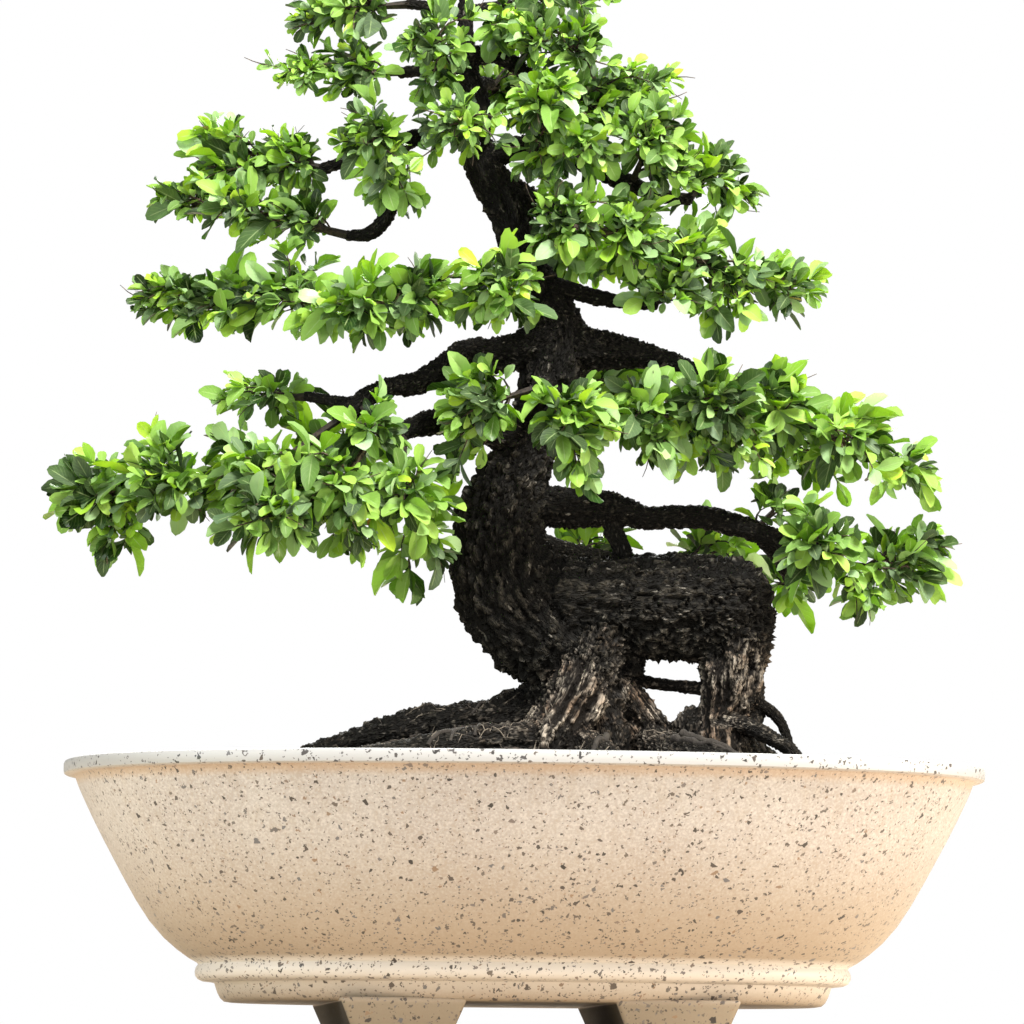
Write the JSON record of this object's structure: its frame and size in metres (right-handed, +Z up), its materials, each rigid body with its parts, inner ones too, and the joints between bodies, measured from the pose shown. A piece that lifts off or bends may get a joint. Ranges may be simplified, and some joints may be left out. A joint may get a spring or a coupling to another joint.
{
  "type": "broadleaf bonsai tree in a pot",
  "caption": "Broadleaf bonsai with a four-legged trunk, spreading roots and tiers of leafy sprays, growing from heaped soil in an oval terrazzo pot on two bar feet.",
  "frame": {"origin": "on the ground, under the middle of the box of pot and foliage together", "axes": "+Z up, +X along the pot's length towards the lying body's rump, +Y to the back"},
  "size_m": [0.8263, 0.542, 1.0127],
  "materials": {
    "terrazzo": "satin",
    "soil": "matte",
    "bark": "matte",
    "leaf": "satin"
  },
  "bodies": {
    "root": {"pot": "terrazzo", "soil": "soil", "tree": "bark", "spray_left_low_tip": "leaf", "spray_left_low_front": "leaf", "spray_left_low_inner": "leaf", "spray_left_low_upper": "leaf", "spray_left_low_back": "leaf", "spray_centre_left": "leaf", "spray_centre_right": "leaf", "spray_right_long_inner": "leaf", "spray_right_long_tip": "leaf", "spray_right_long_back": "leaf", "spray_right_low_tip": "leaf", "spray_right_low_inner": "leaf", "spray_right_low_upper": "leaf", "spray_back_low_left": "leaf", "spray_back_low_right": "leaf", "spray_fork": "leaf", "spray_left_middle_tip": "leaf", "spray_left_middle_front": "leaf", "spray_left_middle_back": "leaf", "spray_middle_front": "leaf", "spray_right_middle_inner": "leaf", "spray_right_middle_tip": "leaf", "spray_right_middle_back": "leaf", "spray_left_high_low": "leaf", "spray_left_high_tip": "leaf", "spray_left_high_inner": "leaf", "spray_right_high_tip": "leaf", "spray_right_high_inner": "leaf", "spray_high_front": "leaf", "spray_top_right": "leaf", "spray_top_right_front": "leaf", "spray_top_left": "leaf", "spray_top_front": "leaf", "spray_crown_left": "leaf", "spray_crown_right": "leaf", "spray_crown_top": "leaf", "spray_back_low": "leaf", "spray_back_middle": "leaf", "spray_back_high": "leaf"}
  },
  "joints": []
}
